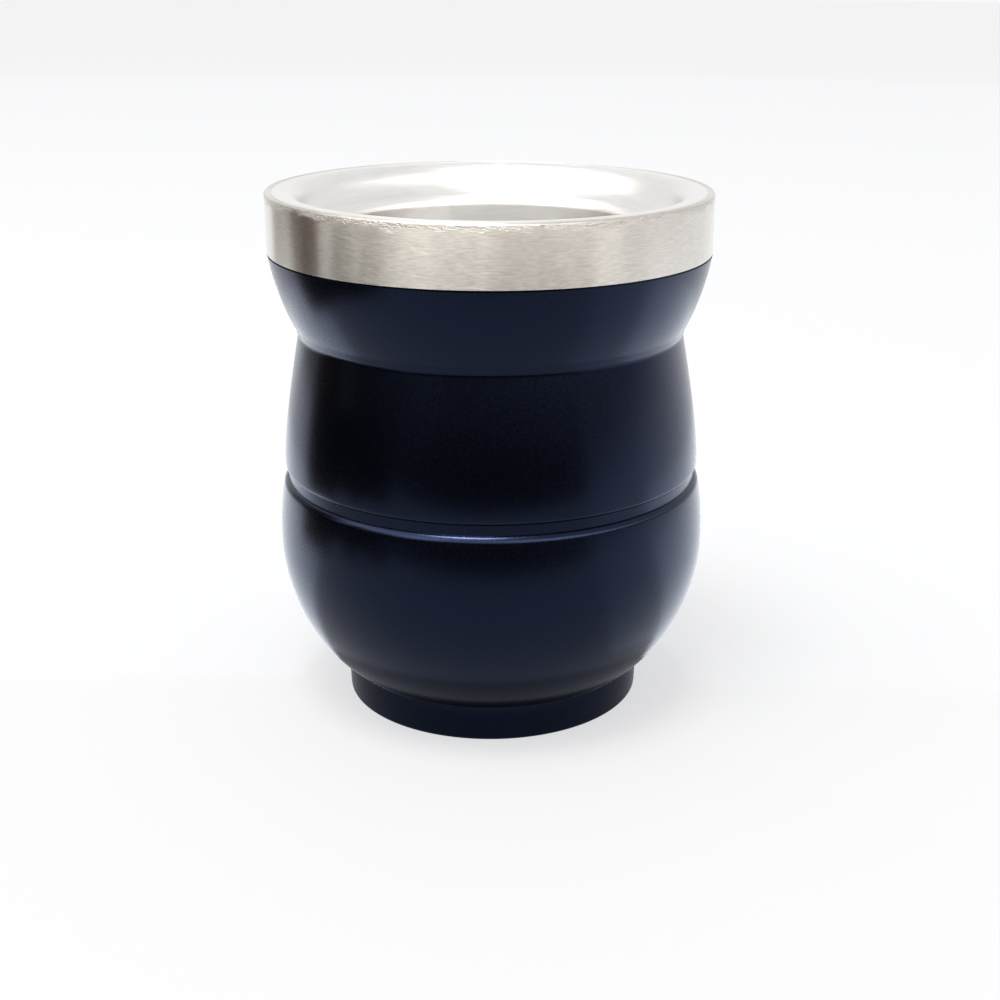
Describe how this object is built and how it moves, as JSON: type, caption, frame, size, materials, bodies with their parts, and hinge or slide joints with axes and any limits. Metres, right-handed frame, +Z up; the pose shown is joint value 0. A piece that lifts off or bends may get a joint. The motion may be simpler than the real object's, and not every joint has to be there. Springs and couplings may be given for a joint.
{
  "type": "mate cup",
  "caption": "Empty double-wall steel mate cup, gourd-shaped, with a satin navy coat, a bare brushed rim band and a steel liner with a dished lip.",
  "frame": {"origin": "centre of the foot, at the height of the surface the cup stands on", "axes": "+Z up along the axis the cup is turned about; +Y is away from the picture's viewer and +X to the right"},
  "size_m": [0.085, 0.085, 0.1015],
  "materials": {
    "navy_coat": "satin powder coat, very dark navy blue, with a faint fine grain",
    "brushed_steel": "bare stainless steel, brushed round the band",
    "satin_steel": "bare stainless steel, finely turned to a bright satin"
  },
  "bodies": {
    "root": {"outer_shell": "navy_coat", "rim_band": "brushed_steel", "liner": "satin_steel"}
  },
  "joints": []
}
